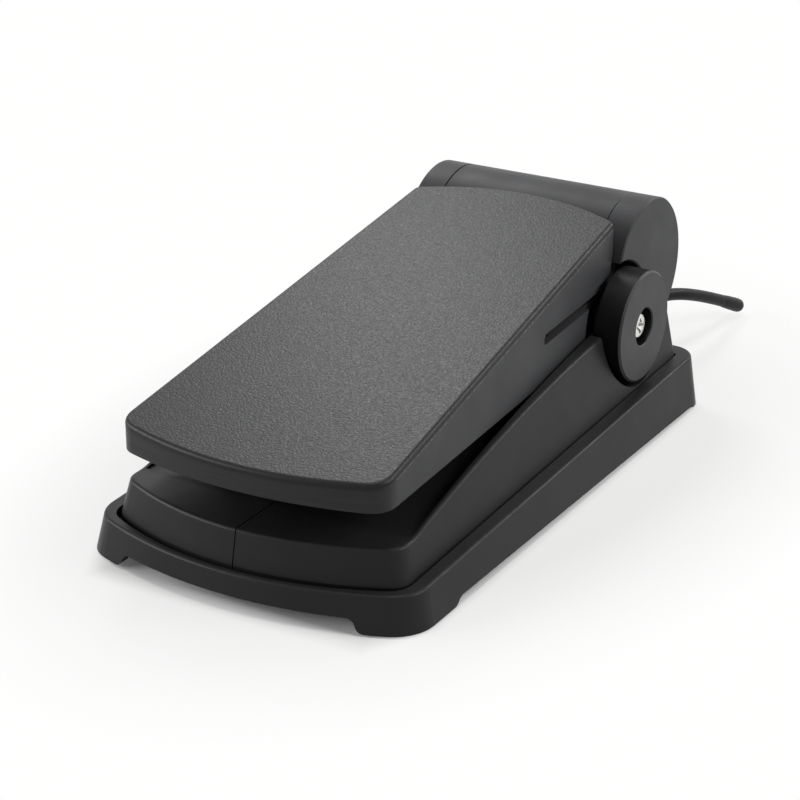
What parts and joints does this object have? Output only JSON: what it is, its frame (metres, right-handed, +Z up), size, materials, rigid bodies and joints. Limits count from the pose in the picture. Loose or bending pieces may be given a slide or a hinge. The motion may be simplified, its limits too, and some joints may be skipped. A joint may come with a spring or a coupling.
{
  "type": "expression pedal",
  "caption": "Low foot pedal with a tilting tread board on side pivot discs, a split housing on a base tray, a cross barrel at the back and a short cord.",
  "frame": {"origin": "centre of the part's footprint, on the floor under the rubber feet", "axes": "+Z up, +Y from the toe end to the pivot end with the cord, +X to the right when looking along +Y"},
  "size_m": [0.1198, 0.3059, 0.0766],
  "materials": {
    "tray_plastic": "satin",
    "housing_plastic": "satin",
    "board_plastic": "satin",
    "barrel_plastic": "satin",
    "disc_plastic": "satin",
    "tread": "fine grain",
    "foot_rubber": "matte",
    "bumper_rubber": "matte",
    "screw_steel": "bright nickel",
    "axle_steel": "turned",
    "plate_steel": "zinc plated",
    "bearing_plastic": "natural",
    "gear_plastic": "natural",
    "sensor_metal": "plated",
    "bracket_steel": "zinc plated",
    "circuit_laminate": "solder resist",
    "gland_rubber": "matte",
    "cord_jacket": "semi gloss"
  },
  "bodies": {
    "base": {"base_tray": "tray_plastic", "rubber_feet": "foot_rubber", "ballast_plate": "plate_steel", "base_screws": "screw_steel", "post_screws": "screw_steel", "housing_left": "housing_plastic", "housing_right": "housing_plastic", "bush_left": "bearing_plastic", "bush_right": "bearing_plastic", "friction_washers": "bearing_plastic", "barrel_tube": "barrel_plastic", "end_lug_left": "barrel_plastic", "end_lug_right": "barrel_plastic", "tie_rod": "axle_steel", "tie_nuts": "axle_steel", "pot_body": "sensor_metal", "pot_nut": "axle_steel", "pot_bracket": "bracket_steel", "bracket_screws": "screw_steel", "circuit_board": "circuit_laminate", "stop_bumpers": "bumper_rubber", "cord_gland": "gland_rubber", "cord": "cord_jacket", "cord_plug": "cord_jacket"},
    "board": {"pedal_plate": "board_plastic", "tread_pad": "tread", "stub_axle_left": "axle_steel", "stub_axle_right": "axle_steel", "hinge_disc_left": "disc_plastic", "hinge_disc_right": "disc_plastic", "hinge_screws": "screw_steel", "gear_sector": "gear_plastic", "sector_screws": "screw_steel"},
    "rotor": {"pinion": "gear_plastic", "pot_shaft": "axle_steel"}
  },
  "joints": [
    {"name": "board_tilt", "type": "hinge", "parent": "base", "child": "board", "pos_m": [0, 0.0673, 0.0391], "axis": [1, 0, 0], "range_deg": [0, 3.8]},
    {"name": "rotor_turn", "type": "hinge", "parent": "base", "child": "rotor", "pos_m": [0, -0.02543, 0.01939], "axis": [1, 0, 0], "range_deg": [-72, 0]}
  ],
  "couplings": [
    {"joint": "rotor_turn", "follows": "board_tilt", "ratio": -18.75}
  ]
}
